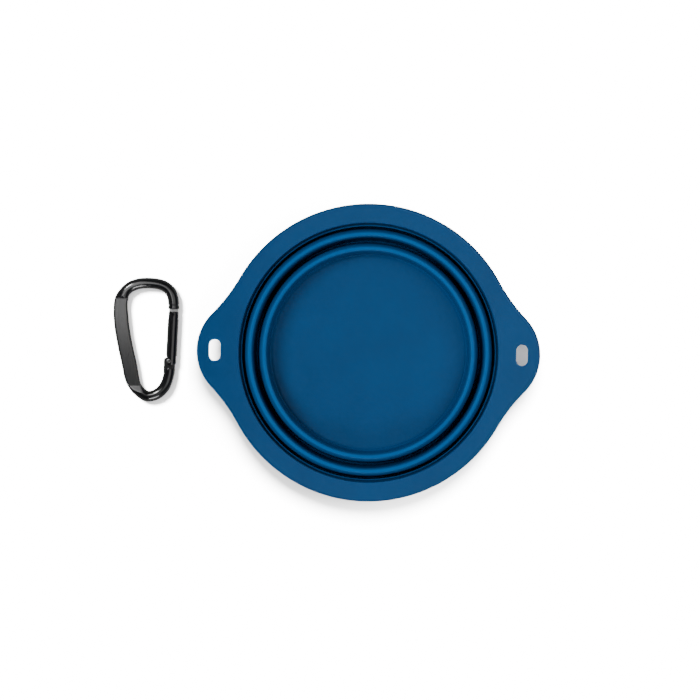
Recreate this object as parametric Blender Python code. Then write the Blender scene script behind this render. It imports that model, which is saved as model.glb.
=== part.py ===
"""Collapsible travel bowl, folded flat, with the small carabiner that it hangs from.

Frame: metres, +Z up, origin on the table under the middle of the bowl's base.
The ears point along +X and -X. The carabiner lies flat on the table beside the -X ear.

The flexible wall is three stiff conical panels joined by two thin fold webs. Folded, each web
leans up from one panel's foot to the next panel's crest. Opened, it flips and hangs down, so
a stage rises by twice the web's height.
"""

import math

import bmesh
import bpy
from mathutils import Matrix, Vector

MM = 0.001
GAP = 0.3 * MM

# Heights of the folded bowl
FOLDED_HEIGHT = 13.5 * MM
CREST_TOP = 12.6 * MM
PANEL_FOOT = 1.2 * MM
WEB_LOW = 1.5 * MM
WEB_HIGH = 11.7 * MM

# Rim flange and its two ears
RIM_RADIUS = 65.0 * MM
EAR_REACH = 75.0 * MM
EAR_TIP_RADIUS = 23.0 * MM
EAR_FILLET_RADIUS = 74.0 * MM
FLANGE_THICKNESS = 2.0 * MM
FLANGE_EDGE_ROUND = 0.5 * MM
FLANGE_BORE = 56.5 * MM
BORE_FLARE = 0.1 * MM
SLOT_OFFSET = 67.0 * MM
SLOT_WIDTH = 5.1 * MM
SLOT_LENGTH = 9.4 * MM

# Stiff wall panels and thin fold webs, as radii from the bowl's axis
WALL_THICKNESS = 1.3 * MM
WEB_THICKNESS = 0.7 * MM
CREST_OUTER_ROUND = 1.0 * MM
CREST_INNER_ROUND = 1.6 * MM
BEAD_INNER = 55.15 * MM
BEAD_WIDTH = 0.6 * MM
BEAD_GROOVE_WIDTH = 0.8 * MM
BEAD_GROOVE_DEPTH = 0.5 * MM
SHOULDER_RADIUS = 59.0 * MM
SHOULDER_THICKNESS = 0.8 * MM
SHOULDER_NECK = 56.4 * MM
OUTER_FOOT_INNER = 54.85 * MM
PANEL_TOP_DROP = 2.2 * MM
MIDDLE_CREST = 51.9 * MM
MIDDLE_FOOT_INNER = 48.85 * MM
INNER_CREST = 45.6 * MM
INNER_FOOT_INNER = 42.9 * MM
WEB_LEAN = 0.7 * MM

# Base
FLOOR_RADIUS = 42.6 * MM
FLOOR_BOTTOM = 1.7 * MM
FLOOR_TOP = 3.3 * MM
BASE_RADIUS = 41.5 * MM
BASE_THICKNESS = 1.4 * MM
BASE_GROOVE_RADIUS = 34.0 * MM
BASE_GROOVE_WIDTH = 1.6 * MM
BASE_GROOVE_DEPTH = 0.5 * MM

# Carabiner, in its own plane: x across, y along, origin in the middle of its length
CARABINER_PLACE = Vector((-97.35 * MM, 4.25 * MM, 2.4 * MM))
WIRE_RADIUS = 2.4 * MM
SPINE_HALF_WIDTH = 3.35 * MM
SPINE_HALF_THICKNESS = 1.4 * MM
FLAT_TOP_Y = 18.8 * MM
FLAT_TOP_RAMP = 1.2 * MM
FLAT_BOTTOM_Y = -24.4 * MM
FLAT_BOTTOM_RAMP = 5.0 * MM
SPREAD_START = 0.55
SPREAD_LENGTH = 20.0 * MM
NOSE_PLACE = Vector((11.85 * MM, 13.4 * MM, 0.0))
ROOT_PLACE = Vector((10.5 * MM, -12.75 * MM, 0.0))
# Knots of the bent wire from the nose over the top, down the spine and round to the hinge:
# x and y in millimetres, and the wire's heading in degrees.
WIRE_KNOTS = [
    (NOSE_PLACE.x / MM, NOSE_PLACE.y / MM, 90.0),
    (10.1, 21.2, 125.0),
    (0.3, 24.5, 180.0),
    (-9.6, 20.5, 234.0),
    (-11.4, 14.5, 270.0),
    (-7.35, -10.25, 284.0),
    (-2.75, -22.7, 318.0),
    (1.6, -25.0, 2.0),
    (8.2, -21.0, 58.0),
    (ROOT_PLACE.x / MM, ROOT_PLACE.y / MM, 85.0),
]

# Gate, measured from the rivet: y along the gate, x towards its outer side
RIVET_PLACE = Vector((10.2 * MM, -9.5 * MM, 0.0))
GATE_OFFSET = 0.9 * MM
GATE_RADIUS = 2.35 * MM
GATE_LEAN = 1.9
GATE_TIP = 21.8 * MM
NOSE_GAP = 1.1 * MM
FORK_END = 2.2 * MM
FORK_END_ROUND = 0.9 * MM
FORK_SLOT = 2.2 * MM
FORK_SLOT_TOP = 2.8 * MM
NOTCH_SLOT = 2.0 * MM
NOTCH_SLOT_LOW = 18.4 * MM
BORE_RADIUS = 1.25 * MM
BORE_TOP = 14.5 * MM
RIVET_RADIUS = 0.65 * MM
RIVET_REACH = 2.2 * MM
LATCH_RADIUS = 0.5 * MM
LATCH_REACH = 2.2 * MM
LATCH_Y = 20.4 * MM
TANG_THICKNESS = 1.5 * MM
TANG_RADIUS = 1.85 * MM
TANG_TOP = 1.1 * MM
TANG_STEM_LOW = -4.6 * MM
TANG_STEM_INSET = 0.02 * MM
TANG_INNER = -2.2 * MM
TANG_OUTER = 2.7 * MM
TONGUE_THICKNESS = 1.3 * MM
TONGUE_LENGTH = 3.0 * MM
TONGUE_HALF_WIDTH = 2.0 * MM
SPRING_WIRE_RADIUS = 0.18 * MM
SPRING_RADIUS = 0.75 * MM
SPRING_LOW = 5.6 * MM
SPRING_HIGH = 13.9 * MM
SPRING_TURNS = 9
PLUNGER_RADIUS = 0.95 * MM
PLUNGER_LOW = 2.15 * MM
PLUNGER_HIGH = 5.0 * MM
PEG_CLEARANCE = 0.2 * MM
PEG_LENGTH = 2.0 * MM

# Fineness
RING_STEPS = 72
FLANGE_STEPS = 120
WIRE_STEPS = 8
WIRE_SIDES = 16
ROD_SIDES = 20
PIN_SIDES = 12
SPRING_SIDES = 5
SPRING_STEPS_PER_TURN = 10


def clear_scene():
    for old in list(bpy.data.objects):
        bpy.data.objects.remove(old, do_unlink=True)


def material(name, colour, roughness, metallic):
    made = bpy.data.materials.new(name)
    made.use_nodes = True
    shader = made.node_tree.nodes["Principled BSDF"]
    shader.inputs["Base Color"].default_value = (*colour, 1.0)
    shader.inputs["Roughness"].default_value = roughness
    shader.inputs["Metallic"].default_value = metallic
    return made


def add_object(name, shape, finish=None):
    """Turn a bmesh into a named object with outward faces and smooth round sides."""
    bmesh.ops.recalc_face_normals(shape, faces=shape.faces)
    mesh = bpy.data.meshes.new(name)
    shape.to_mesh(mesh)
    shape.free()
    mesh.shade_smooth()
    mesh.set_sharp_from_angle(angle=math.radians(35.0))
    made = bpy.data.objects.new(name, mesh)
    bpy.context.scene.collection.objects.link(made)
    if finish is not None:
        mesh.materials.append(finish)
    return made


def cut(target, cutter, operation="DIFFERENCE"):
    """Cut the target with a hidden tool body, or weld the tool to it."""
    cutter.hide_render = True
    cutter.display_type = "WIRE"
    change = target.modifiers.new(cutter.name, "BOOLEAN")
    change.operation = operation
    change.object = cutter
    change.solver = "EXACT"


def loft(rings, closed_path, cap_ends):
    """Skin a list of equally long point rings."""
    shape = bmesh.new()
    rows = [[shape.verts.new(point) for point in ring] for ring in rings]
    count = len(rows[0])
    last = len(rows) if closed_path else len(rows) - 1
    for row in range(last):
        low, high = rows[row], rows[(row + 1) % len(rows)]
        for column in range(count):
            following = (column + 1) % count
            shape.faces.new((low[column], low[following], high[following], high[column]))
    if cap_ends:
        shape.faces.new(rows[0])
        shape.faces.new(rows[-1])
    return shape


def ring_body(name, profile, finish, steps=RING_STEPS):
    """Turn a closed profile of (radius, height) points about the bowl's axis."""
    rings = []
    for step in range(steps):
        angle = 2.0 * math.pi * step / steps
        rings.append([(r * math.cos(angle), r * math.sin(angle), z) for r, z in profile])
    return add_object(name, loft(rings, True, False), finish)


def disc_body(name, profile, finish, steps=RING_STEPS):
    """Turn an open profile that starts and ends at the axis into a solid disc."""
    shape = bmesh.new()
    bottom = shape.verts.new((0.0, 0.0, profile[0][1]))
    top = shape.verts.new((0.0, 0.0, profile[-1][1]))
    rows = []
    for radius, height in profile[1:-1]:
        row = []
        for step in range(steps):
            angle = 2.0 * math.pi * step / steps
            row.append(shape.verts.new((radius * math.cos(angle), radius * math.sin(angle), height)))
        rows.append(row)
    for step in range(steps):
        following = (step + 1) % steps
        shape.faces.new((bottom, rows[0][following], rows[0][step]))
        shape.faces.new((top, rows[-1][step], rows[-1][following]))
        for low, high in zip(rows, rows[1:]):
            shape.faces.new((low[step], low[following], high[following], high[step]))
    return add_object(name, shape, finish)


def arc(centre_r, centre_z, radius, start, end, count):
    """Points of a circular arc in the (radius, height) plane, angles in degrees."""
    points = []
    for index in range(count + 1):
        angle = math.radians(start + (end - start) * index / count)
        points.append((centre_r + radius * math.cos(angle), centre_z + radius * math.sin(angle)))
    return points


# ---------------------------------------------------------------- bowl


def ray_to_circle(angle, centre_x, centre_y, radius, far_side):
    """Distance from the axis to a circle along a ray, on its near or far side."""
    along = centre_x * math.cos(angle) + centre_y * math.sin(angle)
    across = centre_x * math.sin(angle) - centre_y * math.cos(angle)
    half_chord = math.sqrt(radius * radius - across * across)
    return along + half_chord if far_side else along - half_chord


def rim_outline(angle):
    """Radius of the flange's outer edge: a circle that flows into two rounded ears."""
    folded = abs(math.atan2(math.sin(angle), abs(math.cos(angle))))
    tip_x = EAR_REACH - EAR_TIP_RADIUS
    rim_span = RIM_RADIUS + EAR_FILLET_RADIUS
    tip_span = EAR_TIP_RADIUS + EAR_FILLET_RADIUS
    fillet_x = (rim_span**2 - tip_span**2 + tip_x**2) / (2.0 * tip_x)
    fillet_y = math.sqrt(rim_span**2 - fillet_x**2)
    blend = EAR_TIP_RADIUS / tip_span
    tip_end = math.atan2(fillet_y * blend, tip_x + (fillet_x - tip_x) * blend)
    fillet_end = math.atan2(fillet_y, fillet_x)
    if folded <= tip_end:
        return ray_to_circle(folded, tip_x, 0.0, EAR_TIP_RADIUS, True)
    if folded <= fillet_end:
        return ray_to_circle(folded, fillet_x, fillet_y, EAR_FILLET_RADIUS, False)
    return RIM_RADIUS


def make_rim_flange(finish):
    top = FOLDED_HEIGHT
    bottom = top - FLANGE_THICKNESS
    edge = FLANGE_EDGE_ROUND
    rings = []
    for step in range(FLANGE_STEPS):
        angle = 2.0 * math.pi * step / FLANGE_STEPS
        outer = rim_outline(angle)
        profile = [
            (FLANGE_BORE, bottom),
            (FLANGE_BORE + BORE_FLARE, top),
            (outer - edge, top),
            (outer, top - edge),
            (outer, bottom + edge),
            (outer - edge, bottom),
        ]
        rings.append([(r * math.cos(angle), r * math.sin(angle), z) for r, z in profile])
    flange = add_object("rim_flange", loft(rings, True, False), finish)
    for side, label in ((1.0, "right"), (-1.0, "left")):
        cut(flange, make_slot_cutter("slot_cutter_" + label, side * SLOT_OFFSET))
    return flange


def make_slot_cutter(name, centre_x):
    """Upright prism with round ends, long along Y."""
    radius = SLOT_WIDTH / 2.0
    straight = SLOT_LENGTH / 2.0 - radius
    outline = []
    for start, centre_y in ((0.0, straight), (180.0, -straight)):
        for x, y in arc(centre_x, centre_y, radius, start, start + 180.0, 8):
            outline.append((x, y))
    low = FOLDED_HEIGHT - 2.0 * FLANGE_THICKNESS
    high = FOLDED_HEIGHT + FLANGE_THICKNESS
    rings = [[(x, y, z) for x, y in outline] for z in (low, high)]
    return add_object(name, loft(rings, False, True))


def make_outer_wall(finish):
    """Stiff outer panel: a small bead, a groove, and a shoulder glued under the flange."""
    shoulder = FOLDED_HEIGHT - FLANGE_THICKNESS - GAP
    bead = BEAD_WIDTH / 2.0
    groove = BEAD_INNER + BEAD_WIDTH
    profile = arc(BEAD_INNER + bead, shoulder - bead, bead, 180.0, 0.0, 4)
    profile += [
        (groove, shoulder - BEAD_GROOVE_DEPTH),
        (groove + BEAD_GROOVE_WIDTH, shoulder - BEAD_GROOVE_DEPTH),
        (groove + BEAD_GROOVE_WIDTH, shoulder),
        (SHOULDER_RADIUS, shoulder),
        (SHOULDER_RADIUS, shoulder - SHOULDER_THICKNESS),
        (SHOULDER_NECK, shoulder - 2.0 * SHOULDER_THICKNESS),
        (OUTER_FOOT_INNER + WALL_THICKNESS, PANEL_FOOT),
        (OUTER_FOOT_INNER, PANEL_FOOT),
    ]
    return ring_body("outer_wall", profile, finish)


def panel_profile(crest, foot_inner, foot_z):
    """Stiff conical panel with a rounded crest along its top edge, fuller on the inside."""
    inner, outer = CREST_INNER_ROUND, CREST_OUTER_ROUND
    profile = arc(crest, CREST_TOP - inner, inner, 180.0, 90.0, 4)
    profile += arc(crest, CREST_TOP - outer, outer, 90.0, 0.0, 3)[1:]
    profile += [
        (crest + outer, CREST_TOP - 1.5 * outer),
        (crest - outer + WALL_THICKNESS, CREST_TOP - PANEL_TOP_DROP),
        (foot_inner + WALL_THICKNESS, foot_z),
        (foot_inner, foot_z),
    ]
    return profile


def web_profile(crest):
    """Thin fold web outside a crest, leaning outwards towards its foot."""
    top = crest + CREST_OUTER_ROUND + GAP
    foot = top + WEB_LEAN
    return [
        (top, WEB_HIGH),
        (top + WEB_THICKNESS, WEB_HIGH),
        (foot + WEB_THICKNESS, WEB_LOW),
        (foot, WEB_LOW),
    ]


def make_floor(finish):
    edge = 0.4 * MM
    profile = [
        (0.0, FLOOR_BOTTOM),
        (FLOOR_RADIUS - edge, FLOOR_BOTTOM),
        (FLOOR_RADIUS, FLOOR_BOTTOM + edge),
        (FLOOR_RADIUS, FLOOR_TOP),
        (0.0, FLOOR_TOP),
    ]
    return disc_body("floor_disc", profile, finish)


def make_base(finish):
    """Flat stiffening plate under the floor, with a shallow moulded groove underneath."""
    edge = 0.4 * MM
    groove_in = BASE_GROOVE_RADIUS - BASE_GROOVE_WIDTH / 2.0
    groove_out = BASE_GROOVE_RADIUS + BASE_GROOVE_WIDTH / 2.0
    profile = [
        (0.0, 0.0),
        (groove_in, 0.0),
        (groove_in, BASE_GROOVE_DEPTH),
        (groove_out, BASE_GROOVE_DEPTH),
        (groove_out, 0.0),
        (BASE_RADIUS - edge, 0.0),
        (BASE_RADIUS, edge),
        (BASE_RADIUS, BASE_THICKNESS),
        (0.0, BASE_THICKNESS),
    ]
    return disc_body("base_plate", profile, finish)


def make_bowl():
    rigid = material("rim_plastic", (0.012, 0.085, 0.215), 0.5, 0.0)
    flexible = material("flexible_wall", (0.004, 0.068, 0.200), 0.55, 0.0)
    floor_skin = material("floor_skin", (0.004, 0.066, 0.190), 0.55, 0.0)
    base_plastic = material("base_plastic", (0.004, 0.055, 0.160), 0.6, 0.0)
    make_rim_flange(rigid)
    make_outer_wall(flexible)
    ring_body("outer_fold_web", web_profile(MIDDLE_CREST), flexible)
    ring_body("middle_wall", panel_profile(MIDDLE_CREST, MIDDLE_FOOT_INNER, PANEL_FOOT), flexible)
    ring_body("inner_fold_web", web_profile(INNER_CREST), flexible)
    ring_body("inner_wall", panel_profile(INNER_CREST, INNER_FOOT_INNER, FLOOR_BOTTOM), flexible)
    make_floor(floor_skin)
    make_base(base_plastic)


# ---------------------------------------------------------------- carabiner


def wire_path():
    """Points and headings along the bent wire, through its knots on near-circular curves."""
    path = []
    for index in range(len(WIRE_KNOTS) - 1):
        x0, y0, turn0 = WIRE_KNOTS[index]
        x1, y1, turn1 = WIRE_KNOTS[index + 1]
        start, end = Vector((x0 * MM, y0 * MM)), Vector((x1 * MM, y1 * MM))
        head0 = Vector((math.cos(math.radians(turn0)), math.sin(math.radians(turn0))))
        head1 = Vector((math.cos(math.radians(turn1)), math.sin(math.radians(turn1))))
        bend = math.acos(max(-1.0, min(1.0, head0.dot(head1))))
        reach = (end - start).length / (3.0 * math.cos(bend / 4.0) ** 2)
        handle0, handle1 = start + head0 * reach, end - head1 * reach
        first = 0 if index == 0 else 1
        for step in range(first, WIRE_STEPS + 1):
            t = step / WIRE_STEPS
            s = 1.0 - t
            point = start * s**3 + handle0 * (3 * s * s * t) + handle1 * (3 * s * t * t) + end * t**3
            slope = (handle0 - start) * (s * s) + (handle1 - handle0) * (2 * s * t)
            slope += (end - handle1) * (t * t)
            path.append((point, slope.normalized()))
    return path


def flatness(point):
    """0 on the round wire, 1 on the stretch of spine that is pressed flat."""
    if point.x > 0.0:
        return 0.0
    above = (FLAT_TOP_Y - point.y) / FLAT_TOP_RAMP
    below = (point.y - FLAT_BOTTOM_Y) / FLAT_BOTTOM_RAMP
    return max(0.0, min(1.0, above, below))


def spread(point):
    """How far the pressed spine has widened: least at its top, all of it from the middle down."""
    return max(0.0, min(1.0, SPREAD_START + (FLAT_TOP_Y - point.y) / SPREAD_LENGTH))


def wire_section(point, heading):
    """Closed section across the wire: round, or a rounded rectangle on the flat spine."""
    flat = flatness(point)
    half_width = WIRE_RADIUS + (SPINE_HALF_WIDTH - WIRE_RADIUS) * flat * spread(point)
    half_height = WIRE_RADIUS + (SPINE_HALF_THICKNESS - WIRE_RADIUS) * flat
    power = 1.0 - 0.6 * flat
    side = Vector((-heading.y, heading.x))
    section = []
    for index in range(WIRE_SIDES):
        angle = 2.0 * math.pi * (index + 0.5) / WIRE_SIDES
        c, s = math.cos(angle), math.sin(angle)
        across = math.copysign(abs(c) ** power, c) * half_width
        up = math.copysign(abs(s) ** power, s) * half_height
        place = point + side * across
        section.append((place.x, place.y, up))
    return section


def box_body(name, low, high):
    """Plain block between two corners."""
    shape = bmesh.new()
    bmesh.ops.create_cube(shape, size=1.0)
    size = high - low
    bmesh.ops.transform(
        shape,
        matrix=Matrix.Translation((low + high) / 2.0) @ Matrix.Diagonal((*size, 1.0)),
        verts=shape.verts,
    )
    return add_object(name, shape)


def post_body(name, radius, low, high, sides, finish=None):
    """Upright cylinder about the local Z axis."""
    rings = []
    for z in (low, high):
        ring = []
        for index in range(sides):
            angle = 2.0 * math.pi * (index + 0.5) / sides
            ring.append((radius * math.cos(angle), radius * math.sin(angle), z))
        rings.append(ring)
    return add_object(name, loft(rings, False, True), finish)


def rod_body(name, profile, sides, finish=None):
    """Rod along the local Y axis from (radius, y) points, with flat ends."""
    rings = []
    for radius, y in profile:
        ring = []
        for index in range(sides):
            angle = 2.0 * math.pi * (index + 0.5) / sides
            ring.append((radius * math.cos(angle), y, radius * math.sin(angle)))
        rings.append(ring)
    return add_object(name, loft(rings, False, True), finish)


def place(item, parent, offset=Vector((0.0, 0.0, 0.0))):
    item.parent = parent
    item.location = offset


def make_frame(anchor, gate_anchor, finish):
    """Bent frame with a notched latch tongue on its nose and a round-headed hinge tang."""
    rings = [wire_section(point, heading) for point, heading in wire_path()]
    frame = add_object("carabiner_frame", loft(rings, False, True), finish)
    place(frame, anchor)
    half_tongue = TONGUE_THICKNESS / 2.0
    tongue = box_body(
        "tongue_guide",
        Vector((GATE_OFFSET - TONGUE_HALF_WIDTH, GATE_TIP - TONGUE_LENGTH, -half_tongue)),
        Vector((GATE_OFFSET + TONGUE_HALF_WIDTH, GATE_TIP + NOSE_GAP + MM, half_tongue)),
    )
    half_notch = LATCH_RADIUS + GAP
    notch = box_body(
        "notch_cutter",
        Vector((-2.0 * TONGUE_HALF_WIDTH, LATCH_Y - half_notch, -WIRE_RADIUS)),
        Vector((GATE_OFFSET + half_notch, LATCH_Y + half_notch, WIRE_RADIUS)),
    )
    half_tang = TANG_THICKNESS / 2.0
    tang_head = post_body("tang_head_guide", TANG_RADIUS, -half_tang, half_tang, ROD_SIDES)
    tang_stem = box_body(
        "tang_stem_guide",
        Vector((TANG_INNER, TANG_STEM_LOW, TANG_STEM_INSET - half_tang)),
        Vector((TANG_OUTER, TANG_TOP, half_tang - TANG_STEM_INSET)),
    )
    rivet_hole = post_body("rivet_hole_cutter", RIVET_RADIUS + GAP, -WIRE_RADIUS, WIRE_RADIUS, PIN_SIDES)
    for guide in (tongue, tang_head, tang_stem):
        cut(frame, guide, "UNION")
        place(guide, gate_anchor)
    for cutter in (notch, rivet_hole):
        cut(frame, cutter)
        place(cutter, gate_anchor)
    return frame


def make_gate(gate_anchor, finish):
    """Round gate with a forked foot, a slotted tip and a blind bore for its spring."""
    profile = arc(GATE_RADIUS - FORK_END_ROUND, FORK_END_ROUND - FORK_END, FORK_END_ROUND, -90.0, 0.0, 4)
    profile += [(GATE_RADIUS, GATE_TIP - 0.3 * MM), (GATE_RADIUS - 0.3 * MM, GATE_TIP)]
    axis = Vector((GATE_OFFSET, 0.0, 0.0))
    gate = rod_body("gate", profile, ROD_SIDES, finish)
    place(gate, gate_anchor)
    for vertex in gate.data.vertices:
        vertex.co += axis
    reach = 2.0 * WIRE_RADIUS
    fork = box_body(
        "fork_cutter",
        Vector((-reach, -reach, -FORK_SLOT / 2.0)),
        Vector((reach, FORK_SLOT_TOP, FORK_SLOT / 2.0)),
    )
    tip = box_body(
        "tip_slot_cutter",
        Vector((-reach, NOTCH_SLOT_LOW, -NOTCH_SLOT / 2.0)),
        Vector((reach, GATE_TIP + MM, NOTCH_SLOT / 2.0)),
    )
    bore = rod_body(
        "bore_cutter",
        [(BORE_RADIUS, FORK_SLOT_TOP - MM), (BORE_RADIUS, BORE_TOP)],
        PIN_SIDES,
    )
    rivet_hole = post_body("gate_rivet_cutter", RIVET_RADIUS + GAP, -reach, reach, PIN_SIDES)
    latch_hole = post_body("gate_latch_cutter", LATCH_RADIUS + GAP, -reach, reach, PIN_SIDES)
    spots = {
        fork: Vector((0.0, 0.0, 0.0)),
        tip: Vector((0.0, 0.0, 0.0)),
        bore: axis,
        rivet_hole: Vector((0.0, 0.0, 0.0)),
        latch_hole: axis + Vector((0.0, LATCH_Y, 0.0)),
    }
    for cutter, spot in spots.items():
        cut(gate, cutter)
        place(cutter, gate_anchor, spot)


def make_spring(gate_anchor, finish):
    """Compression spring in the gate's bore."""
    steps = SPRING_TURNS * SPRING_STEPS_PER_TURN
    rise = (SPRING_HIGH - SPRING_LOW) / (2.0 * math.pi * SPRING_TURNS)
    rings = []
    for step in range(steps + 1):
        turn = 2.0 * math.pi * step / SPRING_STEPS_PER_TURN
        outward = Vector((math.cos(turn), 0.0, math.sin(turn)))
        tangent = Vector((-SPRING_RADIUS * outward.z, rise, SPRING_RADIUS * outward.x)).normalized()
        binormal = tangent.cross(outward)
        centre = outward * SPRING_RADIUS + Vector((0.0, SPRING_LOW + rise * turn, 0.0))
        ring = []
        for side in range(SPRING_SIDES):
            angle = 2.0 * math.pi * side / SPRING_SIDES
            offset = outward * math.cos(angle) + binormal * math.sin(angle)
            ring.append(centre + offset * SPRING_WIRE_RADIUS)
        rings.append(ring)
    spring = add_object("gate_spring", loft(rings, False, True), finish)
    place(spring, gate_anchor, Vector((GATE_OFFSET, 0.0, 0.0)))


def make_plunger(gate_anchor, finish):
    """Headed pusher between the spring and the hinge tang, with a peg inside the coil."""
    edge = 0.15 * MM
    peg = SPRING_RADIUS - SPRING_WIRE_RADIUS - PEG_CLEARANCE
    profile = [
        (PLUNGER_RADIUS - edge, PLUNGER_LOW),
        (PLUNGER_RADIUS, PLUNGER_LOW + edge),
        (PLUNGER_RADIUS, PLUNGER_HIGH),
        (peg, PLUNGER_HIGH),
        (peg, PLUNGER_HIGH + PEG_LENGTH),
    ]
    plunger = rod_body("spring_plunger", profile, PIN_SIDES, finish)
    place(plunger, gate_anchor, Vector((GATE_OFFSET, 0.0, 0.0)))


def make_carabiner():
    black = material("black_anodised", (0.012, 0.012, 0.013), 0.3, 0.6)
    gate_black = material("gate_black", (0.010, 0.010, 0.011), 0.32, 0.6)
    steel = material("pin_steel", (0.45, 0.45, 0.46), 0.3, 1.0)
    spring_steel = material("spring_steel", (0.38, 0.38, 0.40), 0.35, 1.0)
    anchor = bpy.data.objects.new("carabiner_anchor", None)
    gate_anchor = bpy.data.objects.new("gate_anchor", None)
    for guide in (anchor, gate_anchor):
        bpy.context.scene.collection.objects.link(guide)
    anchor.location = CARABINER_PLACE
    place(gate_anchor, anchor, RIVET_PLACE)
    gate_anchor.rotation_euler = (0.0, 0.0, -math.radians(GATE_LEAN))
    make_frame(anchor, gate_anchor, black)
    make_gate(gate_anchor, gate_black)
    rivet = post_body("hinge_rivet", RIVET_RADIUS, -RIVET_REACH, RIVET_REACH, PIN_SIDES, steel)
    place(rivet, gate_anchor)
    latch = post_body("latch_pin", LATCH_RADIUS, -LATCH_REACH, LATCH_REACH, PIN_SIDES, steel)
    place(latch, gate_anchor, Vector((GATE_OFFSET, LATCH_Y, 0.0)))
    make_spring(gate_anchor, spring_steel)
    make_plunger(gate_anchor, steel)


clear_scene()
make_bowl()
make_carabiner()
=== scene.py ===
"""Looks of a folded collapsible bowl and its small carabiner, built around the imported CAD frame.

Sizes are in millimetres unless a comment says metres, in the frame's own axes: +Z up, the bowl's
axis at the origin, the ears along +X and -X. Heights and places that the CAD settles are read from
its boxes.
"""

import math

import bmesh
import bpy
from mathutils import Matrix, Vector


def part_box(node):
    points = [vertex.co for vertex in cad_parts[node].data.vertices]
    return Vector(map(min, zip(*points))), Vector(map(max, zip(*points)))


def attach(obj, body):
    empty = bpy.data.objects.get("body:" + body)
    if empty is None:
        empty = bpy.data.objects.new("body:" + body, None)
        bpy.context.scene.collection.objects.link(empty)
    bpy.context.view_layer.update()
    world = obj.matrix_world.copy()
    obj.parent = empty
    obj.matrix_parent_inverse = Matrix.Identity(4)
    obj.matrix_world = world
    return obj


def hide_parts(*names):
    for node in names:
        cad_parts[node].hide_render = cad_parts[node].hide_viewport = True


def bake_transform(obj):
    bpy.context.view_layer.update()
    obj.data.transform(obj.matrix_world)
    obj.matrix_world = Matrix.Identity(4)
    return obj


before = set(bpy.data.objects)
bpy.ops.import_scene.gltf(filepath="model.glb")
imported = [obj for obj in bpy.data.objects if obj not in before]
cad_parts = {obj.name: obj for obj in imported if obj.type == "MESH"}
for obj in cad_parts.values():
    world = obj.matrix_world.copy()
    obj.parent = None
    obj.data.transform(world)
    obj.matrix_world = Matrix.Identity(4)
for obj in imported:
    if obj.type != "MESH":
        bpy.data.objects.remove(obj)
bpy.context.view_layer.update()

MM = 0.001

# Fineness, and the angle in degrees from which an edge stays sharp
ARC_STEP = math.radians(11.0)
RING_STEPS = 320
RIM_STEPS = 480
SHARP_ANGLE = 32.0

# Cutters: how far they reach past what they cut
CUT_CLEARANCE = 0.013
CUT_REACH = 1.0

# Rim flange
RIM_RADIUS = 65.0
EAR_REACH = 75.0
EAR_TIP_RADIUS = 23.0
EAR_FILLET_RADIUS = 74.0
FLANGE_BORE = 56.5
BORE_FLARE = 0.15
BORE_LOWER_EDGE = 0.15
BORE_UPPER_EDGE = 0.3
FLANGE_EDGE = 0.95
RELIEF_INSET = 2.6
RELIEF_FLOOR = 1.0
RELIEF_DEPTH = 0.3
RELIEF_SLOPE = 0.3
SLOT_OFFSET = 67.0
SLOT_WIDTH = 5.0
SLOT_LENGTH = 9.3
SLOT_EDGE = 0.2
SLOT_EDGE_STEPS = 6

# Walls: thicknesses, and places as radii from the bowl's axis
WALL = 1.3
BEAD_INNER = 55.15
BEAD_WIDTH = 0.6
BEAD_GROOVE_WIDTH = 0.8
BEAD_GROOVE_DEPTH = 0.5
BEAD_GROOVE_ROUND = 0.12
SHOULDER_GAP = 0.02
SHOULDER_RADIUS = 59.0
SHOULDER_THICKNESS = 0.8
SHOULDER_NECK = 56.4
OUTER_FOOT = 54.85
MIDDLE_CREST = 51.9
MIDDLE_FOOT = 48.85
INNER_CREST = 45.6
INNER_FOOT = 42.9
CREST_RADIUS = 1.0
CREST_INNER_RADIUS = 1.6
CREST_NECK_DROP = 1.2
CREST_NECK_ROUND = 0.3
FOOT_ROUND = 0.6
FLOOR_EDGE = 41.8
FLOOR_FILLET = 0.9
FLOOR_LOWER_EDGE = 0.3

# Fold webs
WEB = 0.7
WEB_SHORTFALL = 0.06
WEB_INSET = 0.05
WEB_CREST_GAP = 0.3
WEB_WRAP = 70.0
WEB_WRAP_PAST = 4.0
WEB_LIFT_OFF = 0.03
WEB_ROOT_IN = 0.65
WEB_ROOT_UP = 0.35
WEB_TUCK_IN = 0.1
WEB_TUCK_DOWN = 0.45
WEB_RISE_STEPS = 16

# Base plate's underside
RECESS_RADIUS = 8.0
RECESS_DEPTH = 0.35
BASE_GROOVE_RADIUS = 33.2
BASE_GROOVE_WIDTH = 1.4
BASE_GROOVE_DEPTH = 0.5
BASE_EDGE = 0.5


# ---------------------------------------------------------------- shapes


def sized(node):
    """Lowest and highest corner of a CAD node, in millimetres."""
    low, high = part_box(node)
    return low / MM, high / MM


def smooth(value, low, high):
    """0 below low, 1 above high, and an S-curve between."""
    share = max(0.0, min(1.0, (value - low) / (high - low)))
    return share * share * (3.0 - 2.0 * share)


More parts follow.
